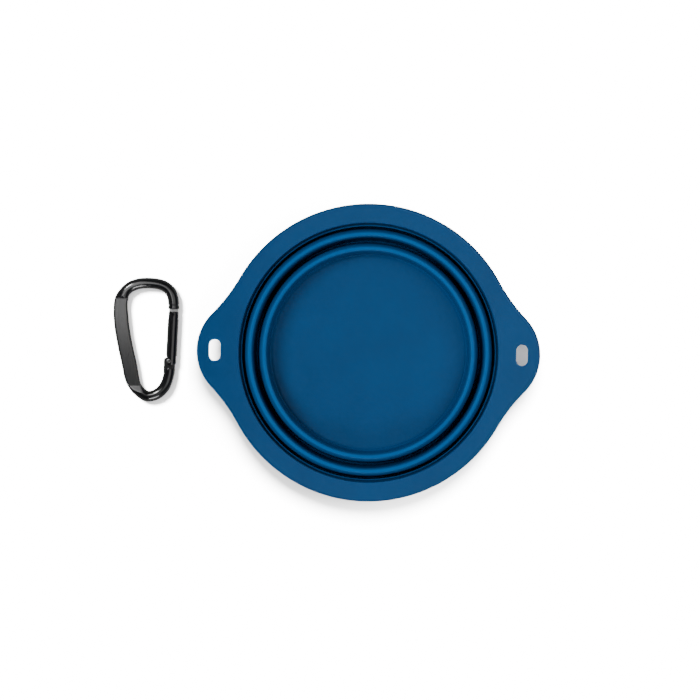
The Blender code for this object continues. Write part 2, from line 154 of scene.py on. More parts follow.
def rounded(corners, closed=True):
    """Outline points from corners (x, y, fillet radius), each fillet a true arc."""
    points = []
    count = len(corners)
    for index, (x, y, fillet) in enumerate(corners):
        here = Vector((x, y))
        if fillet == 0.0 or (not closed and index in (0, count - 1)):
            points.append((x, y))
            continue
        before = Vector(corners[index - 1][:2]) - here
        after = Vector(corners[(index + 1) % count][:2]) - here
        half = before.angle(after) / 2.0
        reach = min(fillet / math.tan(half), 0.49 * before.length, 0.49 * after.length)
        radius = reach * math.tan(half)
        centre = here + (before.normalized() + after.normalized()).normalized() * (radius / math.sin(half))
        first = here + before.normalized() * reach - centre
        last = here + after.normalized() * reach - centre
        sweep = math.atan2(first.x * last.y - first.y * last.x, first.dot(last))
        steps = max(2, math.ceil(abs(sweep) / ARC_STEP))
        for step in range(steps + 1):
            spoke = Matrix.Rotation(sweep * step / steps, 2) @ first
            points.append((centre.x + spoke.x, centre.y + spoke.y))
    return points


def arc(centre_x, centre_y, radius, start, end):
    """Points of a circular arc, angles in degrees."""
    steps = max(2, math.ceil(abs(math.radians(end - start)) / ARC_STEP))
    points = []
    for step in range(steps + 1):
        angle = math.radians(start + (end - start) * step / steps)
        points.append((centre_x + radius * math.cos(angle), centre_y + radius * math.sin(angle)))
    return points


def add_piece(name, points, faces, finish, lift=None):
    """Mesh object from points in millimetres. lift(x, y, z) fills an attribute for its material: painted
    light on the bowl's silicone, the brushed faces on the carabiner.
    """
    mesh = bpy.data.meshes.new(name)
    mesh.from_pydata([Vector(point) * MM for point in points], [], faces)
    shape = bmesh.new()
    shape.from_mesh(mesh)
    bmesh.ops.recalc_face_normals(shape, faces=shape.faces)
    shape.to_mesh(mesh)
    shape.free()
    mesh.shade_smooth()
    mesh.set_sharp_from_angle(angle=math.radians(SHARP_ANGLE))
    if lift is not None:
        shades = mesh.attributes.new("lift", "FLOAT", "POINT")
        shades.data.foreach_set("value", [lift(*point) for point in points])
    piece = bpy.data.objects.new(name, mesh)
    bpy.context.scene.collection.objects.link(piece)
    if finish is not None:
        mesh.materials.append(finish)
    return piece


def skin(rings, around=False, caps=False):
    """Points and faces over equally long rings, which close around the axis or have end caps."""
    count = len(rings[0])
    points = [point for ring in rings for point in ring]
    rows = len(rings)
    faces = []
    for row in range(rows if around else rows - 1):
        low = row * count
        high = (row + 1) % rows * count
        for column in range(count):
            following = (column + 1) % count
            faces.append((low + column, low + following, high + following, high + column))
    if caps:
        faces.append(tuple(range(count)))
        faces.append(tuple(range((rows - 1) * count, rows * count)))
    return points, faces


def turned(name, profile, finish, lift):
    """Ring turned about the bowl's axis from a closed (radius, height) profile."""
    rings = []
    for step in range(RING_STEPS):
        angle = 2.0 * math.pi * step / RING_STEPS
        rings.append([(r * math.cos(angle), r * math.sin(angle), z) for r, z in profile])
    points, faces = skin(rings, around=True)
    return add_piece(name, points, faces, finish, lift)


def turned_sheet(name, profile, finish, lift):
    """Open sheet turned about the bowl's axis from an open (radius, height) profile."""
    count = len(profile)
    points = []
    faces = []
    for step in range(RING_STEPS):
        angle = 2.0 * math.pi * step / RING_STEPS
        points += [(r * math.cos(angle), r * math.sin(angle), z) for r, z in profile]
        low = step * count
        high = (step + 1) % RING_STEPS * count
        faces += [(low + i, low + i + 1, high + i + 1, high + i) for i in range(count - 1)]
    return add_piece(name, points, faces, finish, lift)


def turned_disc(name, profile, finish):
    """Solid disc turned from an open profile whose ends are on the bowl's axis."""
    inner = profile[1:-1]
    points = [(0.0, 0.0, profile[0][1]), (0.0, 0.0, profile[-1][1])]
    count = len(inner)
    faces = []
    for step in range(RING_STEPS):
        angle = 2.0 * math.pi * step / RING_STEPS
        points += [(r * math.cos(angle), r * math.sin(angle), z) for r, z in inner]
        low = 2 + step * count
        high = 2 + (step + 1) % RING_STEPS * count
        faces.append((0, high, low))
        faces.append((1, low + count - 1, high + count - 1))
        faces += [(low + i, low + i + 1, high + i + 1, high + i) for i in range(count - 1)]
    return add_piece(name, points, faces, finish)


def settle(piece):
    """Apply the piece's modifiers to its mesh."""
    bpy.context.view_layer.update()
    ready = piece.evaluated_get(bpy.context.evaluated_depsgraph_get())
    result = bpy.data.meshes.new_from_object(ready)
    piece.modifiers.clear()
    piece.data = result


def combine(target, tool, operation):
    """Cut the target with the tool, or weld the tool to it, and remove the tool."""
    change = target.modifiers.new("combine", "BOOLEAN")
    change.operation = operation
    change.material_mode = "TRANSFER" if tool.data.materials else "INDEX"
    change.object = tool
    change.solver = "EXACT"
    settle(target)
    bpy.data.objects.remove(tool, do_unlink=True)


def even_shading(piece, angle=SHARP_ANGLE):
    """Smooth fillets beside truly flat faces."""
    piece.data.shade_smooth()
    piece.data.set_sharp_from_angle(angle=math.radians(angle))
    weighted = piece.modifiers.new("weighted", "WEIGHTED_NORMAL")
    weighted.keep_sharp = True
    settle(piece)


# ---------------------------------------------------------------- materials

# Silicone: share of mottling, depths of its bumps in metres, and refraction
SKIN_MOTTLE = 0.06
SKIN_TOOTH = 0.000012
SKIN_ROLLING = 0.00002
SILICONE_IOR = 1.41
# Black metal: depths of its rubbing marks and of its brushed grain in metres, and refraction
RUB_DEPTH = 0.0000008
BRUSH_DEPTH = 0.0000012
ANODISED_IOR = 1.6
# Steel: depth of its drawn lines in metres
DRAWN_DEPTH = 0.000004


def new_material(name):
    """Material with its nodes, its links and its main shader."""
    made = bpy.data.materials.new(name)
    made.use_nodes = True
    return made, made.node_tree.nodes, made.node_tree.links, made.node_tree.nodes["Principled BSDF"]


def noise(nodes, links, scale, detail=3.0, stretch=(1.0, 1.0, 1.0)):
    """Noise texture whose grain is about 1 / scale metres."""
    place = nodes.new("ShaderNodeTexCoord")
    scaling = nodes.new("ShaderNodeMapping")
    scaling.inputs["Scale"].default_value = stretch
    texture = nodes.new("ShaderNodeTexNoise")
    texture.inputs["Scale"].default_value = scale
    texture.inputs["Detail"].default_value = detail
    links.new(place.outputs["Object"], scaling.inputs["Vector"])
    links.new(scaling.outputs["Vector"], texture.inputs["Vector"])
    return texture.outputs["Fac"]


def spread(nodes, links, value, low, high):
    """Map a 0..1 noise onto a range."""
    ranged = nodes.new("ShaderNodeMapRange")
    ranged.inputs["From Min"].default_value = 0.3
    ranged.inputs["From Max"].default_value = 0.7
    ranged.inputs["To Min"].default_value = low
    ranged.inputs["To Max"].default_value = high
    links.new(value, ranged.inputs["Value"])
    return ranged.outputs["Result"]


def bump(nodes, links, value, depth, before=None):
    """Bump of the given depth in metres, on top of another one."""
    bumped = nodes.new("ShaderNodeBump")
    bumped.inputs["Distance"].default_value = depth
    links.new(value, bumped.inputs["Height"])
    if before is not None:
        links.new(before, bumped.inputs["Normal"])
    return bumped.outputs["Normal"]


def mixed(nodes, links, share, low, high):
    """Colour between low and high, each a colour or an output."""
    mix = nodes.new("ShaderNodeMix")
    mix.data_type = "RGBA"
    links.new(share, mix.inputs["Factor"])
    for socket, value in (("A", low), ("B", high)):
        target = [slot for slot in mix.inputs if slot.name == socket and slot.type == "RGBA"][0]
        if isinstance(value, tuple):
            target.default_value = (*value, 1.0)
        else:
            links.new(value, target)
    return [slot for slot in mix.outputs if slot.type == "RGBA"][0]


def elastomer(name, deep, painted_light_colour, roughness, gloss=0.5):
    """Matte moulded silicone: soft mottling, a fine tooth, and a paler second colour mixed in through the
    lift attribute as painted light.
    """
    made, nodes, links, shader = new_material(name)
    cloudy = spread(nodes, links, noise(nodes, links, 55.0, 4.0), 0.0, 1.0)
    darker = tuple(part * (1.0 - SKIN_MOTTLE) for part in deep)
    lighter = tuple(part * (1.0 + SKIN_MOTTLE) for part in deep)
    body = mixed(nodes, links, cloudy, darker, lighter)
    if painted_light_colour is not None:
        shade = nodes.new("ShaderNodeAttribute")
        shade.attribute_name = "lift"
        body = mixed(nodes, links, shade.outputs["Fac"], body, painted_light_colour)
    links.new(body, shader.inputs["Base Color"])
    worn = spread(nodes, links, noise(nodes, links, 420.0, 3.0), roughness - 0.05, roughness + 0.06)
    links.new(worn, shader.inputs["Roughness"])
    tooth = bump(nodes, links, noise(nodes, links, 5200.0, 2.0), SKIN_TOOTH)
    rolling = bump(nodes, links, noise(nodes, links, 260.0, 2.0), SKIN_ROLLING, tooth)
    links.new(rolling, shader.inputs["Normal"])
    shader.inputs["IOR"].default_value = SILICONE_IOR
    shader.inputs["Specular IOR Level"].default_value = gloss
    return made


def black_metal(name, colour, roughness, pressed_roughness=None):
    """Black anodised metal: fine rubbing marks, and a brushed grain where it was pressed."""
    made, nodes, links, shader = new_material(name)
    rubbed = spread(nodes, links, noise(nodes, links, 500.0, 3.0), 0.0, 1.0)
    darker = tuple(0.85 * part for part in colour)
    lighter = tuple(1.2 * part for part in colour)
    body = mixed(nodes, links, rubbed, darker, lighter)
    links.new(body, shader.inputs["Base Color"])
    gloss = spread(nodes, links, noise(nodes, links, 350.0, 3.0), roughness - 0.02, roughness + 0.03)
    marks = bump(nodes, links, noise(nodes, links, 1400.0, 1.0), RUB_DEPTH)
    if pressed_roughness is not None:
        shade = nodes.new("ShaderNodeAttribute")
        shade.attribute_name = "lift"
        brushed = noise(nodes, links, 900.0, 3.0, (3.0, 0.15, 1.0))
        blend = nodes.new("ShaderNodeMix")
        links.new(shade.outputs["Fac"], blend.inputs["Factor"])
        links.new(gloss, blend.inputs["A"])
        dull = spread(nodes, links, brushed, pressed_roughness - 0.03, pressed_roughness + 0.04)
        links.new(dull, blend.inputs["B"])
        gloss = blend.outputs["Result"]
        marks = bump(nodes, links, brushed, BRUSH_DEPTH, marks)
    links.new(gloss, shader.inputs["Roughness"])
    links.new(marks, shader.inputs["Normal"])
    shader.inputs["IOR"].default_value = ANODISED_IOR
    return made


def bright_steel(name, colour, roughness, stretch):
    """Drawn steel with fine lines along it."""
    made, nodes, links, shader = new_material(name)
    drawn = noise(nodes, links, 1800.0, 4.0, stretch)
    lines = spread(nodes, links, drawn, 0.0, 1.0)
    body = mixed(nodes, links, lines, tuple(0.75 * part for part in colour), colour)
    links.new(body, shader.inputs["Base Color"])
    links.new(spread(nodes, links, drawn, roughness, roughness + 0.12), shader.inputs["Roughness"])
    links.new(bump(nodes, links, drawn, DRAWN_DEPTH), shader.inputs["Normal"])
    shader.inputs["Metallic"].default_value = 1.0
    return made


# ---------------------------------------------------------------- bowl


def ray_to_circle(angle, centre_x, centre_y, radius, far_side):
    """Distance from the axis to a circle along a ray, on its near or far side."""
    along = centre_x * math.cos(angle) + centre_y * math.sin(angle)
    across = centre_x * math.sin(angle) - centre_y * math.cos(angle)
    half_chord = math.sqrt(radius * radius - across * across)
    return along + half_chord if far_side else along - half_chord


def rim_outline(angle):
    """Radius of the flange's outer edge: a circle that flows into two rounded ears."""
    folded = abs(math.atan2(math.sin(angle), abs(math.cos(angle))))
    tip_x = EAR_REACH - EAR_TIP_RADIUS
    rim_span = RIM_RADIUS + EAR_FILLET_RADIUS
    tip_span = EAR_TIP_RADIUS + EAR_FILLET_RADIUS
    fillet_x = (rim_span**2 - tip_span**2 + tip_x**2) / (2.0 * tip_x)
    fillet_y = math.sqrt(rim_span**2 - fillet_x**2)
    blend = EAR_TIP_RADIUS / tip_span
    tip_end = math.atan2(fillet_y * blend, tip_x + (fillet_x - tip_x) * blend)
    fillet_end = math.atan2(fillet_y, fillet_x)
    if folded <= tip_end:
        return ray_to_circle(folded, tip_x, 0.0, EAR_TIP_RADIUS, True)
    if folded <= fillet_end:
        return ray_to_circle(folded, fillet_x, fillet_y, EAR_FILLET_RADIUS, False)
    return RIM_RADIUS


def slot_cutter(centre_x, low, high):
    """Upright tool with round ends that flares at both faces, so that it rounds the slot's edges.

    Its flares start a hair outside the faces, so that no edge of the tool lies in one.
    """
    low = low - CUT_CLEARANCE
    high = high + CUT_CLEARANCE
    levels = [(low - CUT_REACH, SLOT_EDGE)]
    for step in range(SLOT_EDGE_STEPS + 1):
        angle = math.radians(90.0 * step / SLOT_EDGE_STEPS)
        levels.append((low + SLOT_EDGE * (1.0 - math.cos(angle)), SLOT_EDGE * (1.0 - math.sin(angle))))
    levels += [(low + high - level, flare) for level, flare in reversed(levels)]
    straight = (SLOT_LENGTH - SLOT_WIDTH) / 2.0
    rings = []
    for level, flare in levels:
        radius = SLOT_WIDTH / 2.0 + flare
        outline = arc(centre_x, straight, radius, 0.0, 180.0)
        outline += arc(centre_x, -straight, radius, 180.0, 360.0)
        rings.append([(x, y, level) for x, y in outline])
    return add_piece("slot_cutter", *skin(rings, caps=True), None)


def make_rim(finish):
    """Flat flange with a full round edge, slots in its ears and a relief groove underneath."""
    low, high = sized("rim_flange")
    bottom = low.z
    top = high.z
    rings = []
    for step in range(RIM_STEPS):
        angle = 2.0 * math.pi * step / RIM_STEPS
        outer = rim_outline(angle)
        relief_out = outer - RELIEF_INSET - RELIEF_SLOPE
        relief_in = relief_out - RELIEF_FLOOR
        profile = rounded([
            (FLANGE_BORE, bottom, BORE_LOWER_EDGE),
            (FLANGE_BORE + BORE_FLARE, top, BORE_UPPER_EDGE),
            (outer, top, FLANGE_EDGE),
            (outer, bottom, FLANGE_EDGE),
            (relief_out + RELIEF_SLOPE, bottom, 0.1),
            (relief_out, bottom + RELIEF_DEPTH, 0.15),
            (relief_in, bottom + RELIEF_DEPTH, 0.15),
            (relief_in - RELIEF_SLOPE, bottom, 0.1),
        ])
        rings.append([(r * math.cos(angle), r * math.sin(angle), z) for r, z in profile])
    rim = add_piece("rim", *skin(rings, around=True), finish)
    for side in (1.0, -1.0):
        combine(rim, slot_cutter(side * SLOT_OFFSET, bottom, top), "DIFFERENCE")
    even_shading(rim)
    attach(rim, "rim_stage")
    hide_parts("rim_flange")


def crest_painted_highlight(top):
    """How far a point is up a crest, for the painted highlight along the crest tops."""
    return lambda x, y, z: smooth(z, top - 0.4, top - 0.02)


def bead_lift(top):
    """Where the outer panel's painted shade gives way to plain blue: over the top of the bead only."""
    edge = BEAD_INNER + BEAD_WIDTH

    def lift(x, y, z):
        """Share of the plain, unshaded blue at a point."""
        return smooth(z, top - 0.3, top) * (1.0 - smooth(math.hypot(x, y), edge, edge + 0.2))

    return lift


def make_outer_wall(finish):
    """Outer panel: a bead and a groove beside the flange, a shoulder ring under it, a rounded foot.

    The shoulder lies right under the flange, where the CAD leaves room for the glue.
    """
    low, high = sized("outer_wall")
    neck = BEAD_INNER + BEAD_WIDTH
    shoulder = sized("rim_flange")[0].z - SHOULDER_GAP
    groove = high.z - BEAD_GROOVE_DEPTH
    half = BEAD_WIDTH / 2.0
    profile = arc(BEAD_INNER + half, high.z - half, half, 180.0, 0.0)
    profile += rounded([
        (neck, high.z - half, 0.0),
        (neck, groove, BEAD_GROOVE_ROUND),
        (neck + BEAD_GROOVE_WIDTH, groove, BEAD_GROOVE_ROUND),
        (neck + BEAD_GROOVE_WIDTH, shoulder, 0.1),
        (SHOULDER_RADIUS, shoulder, 0.15),
        (SHOULDER_RADIUS, shoulder - SHOULDER_THICKNESS, 0.3),
        (SHOULDER_NECK, shoulder - 2.0 * SHOULDER_THICKNESS, 0.8),
        (OUTER_FOOT + WALL, low.z, FOOT_ROUND),
        (OUTER_FOOT, low.z, FOOT_ROUND),
        (BEAD_INNER, high.z - half, 0.0),
    ], closed=False)[1:-1]
    # The outer panel wears painted shade, with plain blue only on the top of the bead.
    wall = turned("outer_panel", profile, finish, bead_lift(high.z))
    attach(wall, "rim_stage")
    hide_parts("outer_wall")


def crest_profile(crest, top):
    """Rounded crest from its inner flank, which is the fuller one, over the top to under its outer one."""
    inner = arc(crest, top - CREST_INNER_RADIUS, CREST_INNER_RADIUS, 185.0, 90.0)
    return inner + arc(crest, top - CREST_RADIUS, CREST_RADIUS, 90.0, -25.0)[1:]


def make_middle_wall(finish):
    """Middle panel: round crest, undercut neck outside and a rounded foot."""
    low, high = sized("middle_wall")
    neck_z = high.z - CREST_RADIUS - CREST_NECK_DROP
    flank = crest_profile(MIDDLE_CREST, high.z)
    profile = flank + rounded([
        (0.0, 0.0, 0.0),
        (MIDDLE_CREST - CREST_RADIUS + WALL, neck_z, CREST_NECK_ROUND),
        (MIDDLE_FOOT + WALL, low.z, FOOT_ROUND),
        (MIDDLE_FOOT, low.z, FOOT_ROUND),
        (*flank[0], 0.0),
    ], closed=False)[1:-1]
    wall = turned("middle_panel", profile, finish, crest_painted_highlight(high.z))
    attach(wall, "middle_stage")
    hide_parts("middle_wall")


def make_inner_wall(finish):
    """Inner panel: round crest, and a foot that curves into the level of the floor."""
    low, high = sized("inner_wall")
    floor_top = sized("floor_disc")[1].z
    neck_z = high.z - CREST_RADIUS - CREST_NECK_DROP
    flank = crest_profile(INNER_CREST, high.z)
    lean = (flank[0][0] - INNER_FOOT) / (flank[0][1] - low.z)
    corner = INNER_FOOT + lean * (floor_top - low.z)
    profile = flank + rounded([
        (0.0, 0.0, 0.0),
        (INNER_CREST - CREST_RADIUS + WALL, neck_z, CREST_NECK_ROUND),
        (INNER_FOOT + WALL, low.z, FOOT_ROUND),
        (FLOOR_EDGE, low.z, 0.0),
        (FLOOR_EDGE, floor_top, 0.0),
        (corner, floor_top, FLOOR_FILLET),
        (*flank[0], 0.0),
    ], closed=False)[1:-1]
    wall = turned("inner_panel", profile, finish, crest_painted_highlight(high.z))
    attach(wall, "base")
    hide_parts("inner_wall")


def make_web(name, node, crest, foot_inner, upper_body, lower_body, finish):
    """Thin fold web. It starts in the foot of the panel outside it, turns up, and lies over the crest.

    It lies between two stages; upper_body and lower_body, which name them, are not used.
    """
    low, high = sized(node)
    crest_top = sized("middle_wall")[1].z
    foot_out = high.x - WEB_INSET
    top_out = crest + CREST_RADIUS + WEB_CREST_GAP + WEB
    wrap = math.radians(WEB_WRAP)
    growth = (top_out - crest - CREST_RADIUS) / (1.0 - math.cos(wrap))
    shoulder = CREST_RADIUS + growth
    centre_r = crest - growth * math.cos(wrap)
    centre_z = crest_top - CREST_RADIUS - WEB_LIFT_OFF - growth * math.sin(wrap)
    start = (foot_inner + WEB_ROOT_IN, low.z + WEB_ROOT_UP)
    corner = (foot_out, low.z + WEB_ROOT_UP)
    lean = rounded([(*start, 0.0), (*corner, 0.3), (top_out, centre_z, 0.0)], closed=False)
    rise = []
    bottom_r, bottom_z = lean[-2]
    for step in range(1, WEB_RISE_STEPS + 1):
        share = step / WEB_RISE_STEPS
        rise.append((bottom_r + (top_out - bottom_r) * share, bottom_z + (centre_z - bottom_z) * share))
    profile = lean[:-1] + rise + arc(centre_r, centre_z, shoulder, 0.0, WEB_WRAP + WEB_WRAP_PAST)[1:]
    profile.append((crest + WEB_TUCK_IN, crest_top - WEB_TUCK_DOWN))
    web = turned_sheet(name, profile, finish, crest_painted_highlight(crest_top))
    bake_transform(web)
    thick = web.modifiers.new("thickness", "SOLIDIFY")
    thick.thickness = (WEB - WEB_SHORTFALL) * MM
    thick.offset = -1.0
    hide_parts(node)


def make_floor(finish):
    """Flat floor that meets the foot of the inner panel."""
    low, high = sized("floor_disc")
    profile = [
        (0.0, low.z),
        (FLOOR_EDGE - FLOOR_LOWER_EDGE, low.z),
        (FLOOR_EDGE, low.z + FLOOR_LOWER_EDGE),
        (FLOOR_EDGE, high.z),
        (FLOOR_EDGE / 2.0, high.z),
        (0.0, high.z),
    ]
    floor = turned_disc("bowl_floor", profile, finish)
    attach(floor, "base")
    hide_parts("floor_disc")


def make_base(finish):
    """Stiff plate under the floor, with a groove and a shallow recess in the middle underneath."""
    low, high = sized("base_plate")
    recess = low.z + RECESS_DEPTH
    groove = low.z + BASE_GROOVE_DEPTH
    groove_out = BASE_GROOVE_RADIUS + 0.1 + BASE_GROOVE_WIDTH
    profile = rounded([
        (0.0, recess, 0.0),
        (RECESS_RADIUS, recess, 0.15),
        (RECESS_RADIUS + 0.5, low.z, 0.15),
        (BASE_GROOVE_RADIUS, low.z, 0.15),
        (BASE_GROOVE_RADIUS + 0.1, groove, 0.2),
        (groove_out, groove, 0.2),
        (groove_out + 0.1, low.z, 0.15),
        (high.x, low.z, BASE_EDGE),
        (high.x, high.z, 0.2),
        (0.0, high.z, 0.0),
    ], closed=False)
    plate = turned_disc("base_plate_moulding", profile, finish)
    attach(plate, "base")
    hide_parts("base_plate")


def make_bowl():
    """All pieces of the bowl, each in the blue that it shows, with painted light: a painted highlight on
    the crests, painted shade over the outer panel.
    """
    rim_skin = elastomer("rim_skin", (0.0012, 0.069, 0.222), None, 0.36)
    # Its paler colour is a painted highlight along the crest tops and over the webs that lie on them.
    wall_skin = elastomer("wall_skin", (0.0009, 0.074, 0.232), (0.0010, 0.143, 0.455), 0.36)
    # A darker copy of the wall's silicone: painted shade over the outer panel and its groove, with plain
    # blue only on the top of the bead.
    shaded_panel_skin = elastomer("shaded_panel_skin", (0.0006, 0.034, 0.108), (0.0008, 0.078, 0.245), 0.36)
    floor_skin = elastomer("floor_finish", (0.0014, 0.071, 0.222), None, 0.38, 0.36)
    base_skin = elastomer("base_finish", (0.0010, 0.050, 0.160), None, 0.42)
    make_rim(rim_skin)
    make_outer_wall(shaded_panel_skin)
    make_middle_wall(wall_skin)
    make_inner_wall(wall_skin)
    outer_fold = (MIDDLE_CREST, OUTER_FOOT, "rim_stage", "middle_stage")
    inner_fold = (INNER_CREST, MIDDLE_FOOT, "middle_stage", "base")
    make_web("outer_web", "outer_fold_web", *outer_fold, wall_skin)
    make_web("inner_web", "inner_fold_web", *inner_fold, wall_skin)
    make_floor(floor_skin)
    make_base(base_skin)


# ---------------------------------------------------------------- carabiner

# Wire, and the flat that a press leaves on its spine; x and y from the middle of the carabiner
WIRE_RADIUS = 2.4
WIRE_SIDES = 64
WIRE_SPACING = 0.25
END_SPACING = 0.1
END_ROUND = 0.22
NOSE_GROOVE = (1.35, 2.0)
NOSE_GROOVE_DEPTH = 0.18
NOSE_GROOVE_SLOPE = 0.15
SPINE_HALF_WIDTH = 3.3
SPINE_HALF_THICKNESS = 1.4
PRESS_REACH_X = 4.0
FLAT_TOP = 17.7
FLAT_TOP_RAMP = 0.7
FLAT_LOW = -20.6
FLAT_LOW_RAMP = 2.8
PRESS_SOFTNESS = 0.22
SPREAD_START = 0.6
SPREAD_LENGTH = 20.0
SPREAD_LOW = (-25.0, -15.0)
SPREAD_TOP = (17.4, 21.5)
CARABINER_SHARP_ANGLE = 30.0
RIVET_FROM_MIDDLE = Vector((10.2, -9.5, 0.0))
# Knots of the bent wire from the nose over the top, down the spine and round to the hinge:
# x and y from the middle of the carabiner, and the wire's heading in degrees.
WIRE_KNOTS = [
    (11.85, 13.4, 90.0),
    (10.1, 21.2, 125.0),
    (0.3, 24.5, 180.0),
    (-9.6, 20.5, 234.0),
    (-11.4, 14.5, 270.0),
    (-7.35, -10.25, 284.0),
    (-2.75, -22.7, 318.0),
    (1.6, -25.0, 2.0),
    (8.2, -21.0, 58.0),
    (10.5, -12.75, 85.0),
]

# Gate and hinge, in the gate's own space: +Y along the gate, the rivet's axis at the origin
GATE_LEAN = 1.9
GATE_OFFSET = 0.9
GATE_RADIUS = 2.35
GATE_SIDES = 64
GATE_TIP = 21.8
GATE_TIP_ROUND = 0.45
FORK_END = 1.75
FORK_END_ROUND = 0.9
FORK_SLOT = 2.2
FORK_SLOT_TOP = 2.45
TIP_SLOT = 2.0
TIP_SLOT_LOW = 18.4
BORE_RADIUS = 1.25
BORE_TOP = 14.5
GATE_HOLE_RADIUS = 0.86
LATCH_Y = 20.4
LATCH_HOLE_RADIUS = 0.51
GATE_HOLE_REACH = 5.0
SLOT_REACH = 6.0
PIN_SIDES = 32
SMALL_SIDES = 28
NOSE_GAP = 1.1
TONGUE_THICKNESS = 1.3
TONGUE_HALF_WIDTH = 2.0
TONGUE_LENGTH = 3.0
TONGUE_ROOT = 1.0
TONGUE_EDGE = 0.18
NOTCH_HALF_WIDTH = 0.75
NOTCH_REACH = 3.0
TANG_THICKNESS = 1.5
TANG_RADIUS = 1.85
TANG_INNER_X = -2.35
TANG_STEM_X = -2.2
TANG_OUTER_X = 2.7
TANG_STEM_LOW = -5.4
TANG_EDGE = 0.2
TANG_HOLE_RADIUS = 0.9
TANG_HOLE_REACH = 3.0
# Pins and plunger, as (radius, distance along the axis)
RIVET_SIDES = 40
RIVET_HEAD = [(0.2, 1.2), (0.5, 1.25), (0.58, 2.2), (0.7, 2.3), (0.9, 2.24), (1.05, 2.0), (0.82, 1.85)]
LATCH_END = [(0.3, 2.27), (0.44, 2.24), (0.5, 2.15)]
PLUNGER_HEAD = [(0.3, 2.16), (0.62, 2.22), (0.84, 2.36), (0.94, 2.6), (0.95, 4.9), (0.88, 5.0)]
PLUNGER_PEG = [(0.42, 5.0), (0.37, 5.08), (0.37, 6.8), (0.28, 6.95)]
SPRING_TURNS = 9.0
SPRING_RADIUS = 0.75
SPRING_WIRE = 0.17
SPRING_LOW = 5.6
SPRING_HIGH = 13.9
SPRING_END_COILS = 0.055
SPRING_SIDES = 12
SPRING_STEPS_PER_TURN = 28


def wire_path():
    """Points, headings and run along the bent wire, through its knots on near-circular curves."""
    path = []
    run = 0.0
    last_knot = len(WIRE_KNOTS) - 2
    for index in range(last_knot + 1):
        x0, y0, turn0 = WIRE_KNOTS[index]
        x1, y1, turn1 = WIRE_KNOTS[index + 1]
        start = Vector((x0, y0))
        end = Vector((x1, y1))
        head0 = Vector((math.cos(math.radians(turn0)), math.sin(math.radians(turn0))))
        head1 = Vector((math.cos(math.radians(turn1)), math.sin(math.radians(turn1))))
        bend = math.acos(max(-1.0, min(1.0, head0.dot(head1))))
        reach = (end - start).length / (3.0 * math.cos(bend / 4.0) ** 2)
        handle0 = start + head0 * reach
        handle1 = end - head1 * reach
        spacing = END_SPACING if index in (0, last_knot) else WIRE_SPACING
        steps = math.ceil((end - start).length / spacing)
        for step in range(0 if index == 0 else 1, steps + 1):
            t = step / steps
            s = 1.0 - t
            point = start * s**3 + handle0 * (3 * s * s * t) + handle1 * (3 * s * t * t) + end * t**3
            slope = (handle0 - start) * (s * s) + (handle1 - handle0) * (2 * s * t)
            slope += (end - handle1) * (t * t)
            if path:
                run += (point - path[-1][0]).length
            path.append((point, slope.normalized(), run))
    return path


def press_height(x, y):
    """Half height that the press leaves at a place on the spine: level, with a ramp at each end."""
    if x > PRESS_REACH_X:
        return 2.0 * WIRE_RADIUS
    depth = WIRE_RADIUS - SPINE_HALF_THICKNESS
    above = (y - FLAT_TOP) / FLAT_TOP_RAMP
    below = (FLAT_LOW - y) / FLAT_LOW_RAMP
    return SPINE_HALF_THICKNESS + depth * max(0.0, above, below)


def soft_min(a, b, softness):
    """Smaller of two numbers, rounded off where they are nearly equal."""
    overlap = max(softness - abs(a - b), 0.0)
    return min(a, b) - overlap * overlap / (4.0 * softness)


def wire_radius(run, length):
    """Radius along the wire: rounded at both ends, with a turned groove behind the nose."""
    radius = WIRE_RADIUS
    for distance in (run, length - run):
        if distance < END_ROUND:
            radius -= END_ROUND - math.sqrt(END_ROUND**2 - (END_ROUND - distance) ** 2)
    middle = sum(NOSE_GROOVE) / 2.0
    half = (NOSE_GROOVE[1] - NOSE_GROOVE[0]) / 2.0
    radius -= NOSE_GROOVE_DEPTH * (1.0 - smooth(abs(run - middle), half - NOSE_GROOVE_SLOPE, half))
    return radius


def wire_ring(point, heading, run, length):
    """Cross-section of the wire: round, or widened and cut off level where the press flattened it."""
    radius = wire_radius(run, length)
    pressed = 0.0
    if point.x < 0.0:
        pressed = smooth(point.y, *SPREAD_LOW) * (1.0 - smooth(point.y, *SPREAD_TOP))
    widened = pressed * min(1.0, SPREAD_START + (FLAT_TOP - point.y) / SPREAD_LENGTH)
    half_width = radius + (SPINE_HALF_WIDTH - radius) * widened
    side = Vector((-heading.y, heading.x))
    ring = []
    for index in range(WIRE_SIDES):
        angle = 2.0 * math.pi * (index + 0.5) / WIRE_SIDES
        place = point + side * (half_width * math.cos(angle))
        up = radius * math.sin(angle)
        limit = press_height(place.x, place.y)
        ring.append((place.x, place.y, math.copysign(soft_min(abs(up), limit, PRESS_SOFTNESS), up)))
    return ring


def pressed_lift(x, y, z):
    """1 on the pressed faces of the spine, which are brushed, and 0 on the round wire."""
    return 1.0 - smooth(press_height(x, y) - abs(z), 0.05, 0.25)


def prism(name, outline, low, high, edge=0.0):
    """Upright plate over an outline, with its two rims rounded."""
    rings = [[(x, y, z) for x, y in outline] for z in (low, high)]
    plate = add_piece(name, *skin(rings, caps=True), None)
    if edge > 0.0:
        shape = bmesh.new()
        shape.from_mesh(plate.data)
        rims = [e for e in shape.edges if abs(e.verts[0].co.z - e.verts[1].co.z) < 1e-7]
        bmesh.ops.bevel(shape, geom=rims, offset=edge * MM, segments=3, affect="EDGES", profile=0.5)
        shape.to_mesh(plate.data)
        shape.free()
    return plate


